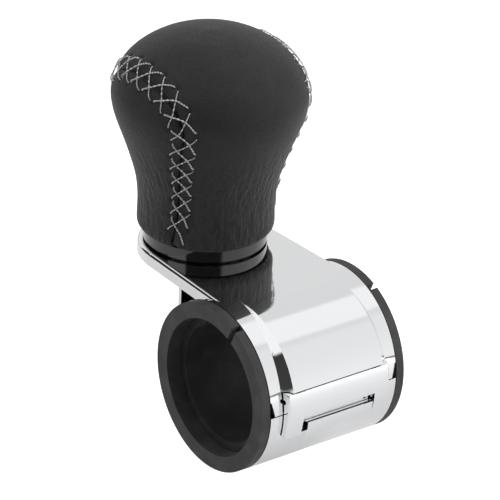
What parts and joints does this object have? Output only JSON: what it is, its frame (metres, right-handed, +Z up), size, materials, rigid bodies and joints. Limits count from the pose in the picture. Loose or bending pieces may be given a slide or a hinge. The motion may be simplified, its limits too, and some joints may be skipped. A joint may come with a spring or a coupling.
{
  "type": "steering wheel spinner knob",
  "caption": "Leather-wrapped spinner knob on a post, on the arm of a chrome hinged clamp that grips a steering wheel rim with a split rubber sleeve and a latch loop.",
  "frame": {"origin": "middle of the clamp's bore", "axes": "+Y along the clamp's bore, +Z up along the knob's axis, knob on the -X side, latch on the +X side"},
  "size_m": [0.089, 0.0536, 0.1088],
  "materials": {
    "chrome_casting": "polished plating",
    "sleeve_rubber": "matte moulded",
    "steel_parts": "zinc plated",
    "gloss_ring": "polished",
    "knob_leather": "fine grain",
    "lacing_thread": "waxed thread",
    "moulded_core": "as moulded",
    "plain_bush": "turned"
  },
  "bodies": {
    "clamp": {"upper_bracket": "chrome_casting", "outer_sleeve": "sleeve_rubber", "inner_sleeve": "sleeve_rubber", "hinge_pin": "steel_parts", "latch_pin": "steel_parts", "base_ring": "gloss_ring", "thrust_washer": "plain_bush", "spindle": "steel_parts", "spindle_nut": "steel_parts", "lock_washer": "steel_parts", "retaining_washer": "steel_parts", "lock_nut": "steel_parts"},
    "jaw": {"lower_jaw": "chrome_casting"},
    "latch": {"latch_loop": "chrome_casting"},
    "knob": {"collar_ring": "gloss_ring", "leather_front_panel": "knob_leather", "leather_back_panel": "knob_leather", "seam_thread": "lacing_thread", "knob_core": "moulded_core", "core_cap": "moulded_core", "lower_bush": "plain_bush", "upper_bush": "plain_bush"}
  },
  "joints": [
    {"name": "jaw_hinge", "type": "hinge", "parent": "clamp", "child": "jaw", "pos_m": [-0.0242, 0, 0.0006], "axis": [0, 1, 0], "range_deg": [0, 40]},
    {"name": "latch_swing", "type": "hinge", "parent": "clamp", "child": "latch", "pos_m": [0.02386, 0, 0.0044], "axis": [0, -1, 0], "range_deg": [0, 100]},
    {"name": "knob_spin", "type": "hinge", "parent": "clamp", "child": "knob", "pos_m": [-0.0355, 0, 0.0236], "axis": [0, 0, 1], "continuous": true}
  ],
  "couplings": [
    {"joint": "latch_swing", "follows": "jaw_hinge", "ratio": 2.5}
  ]
}
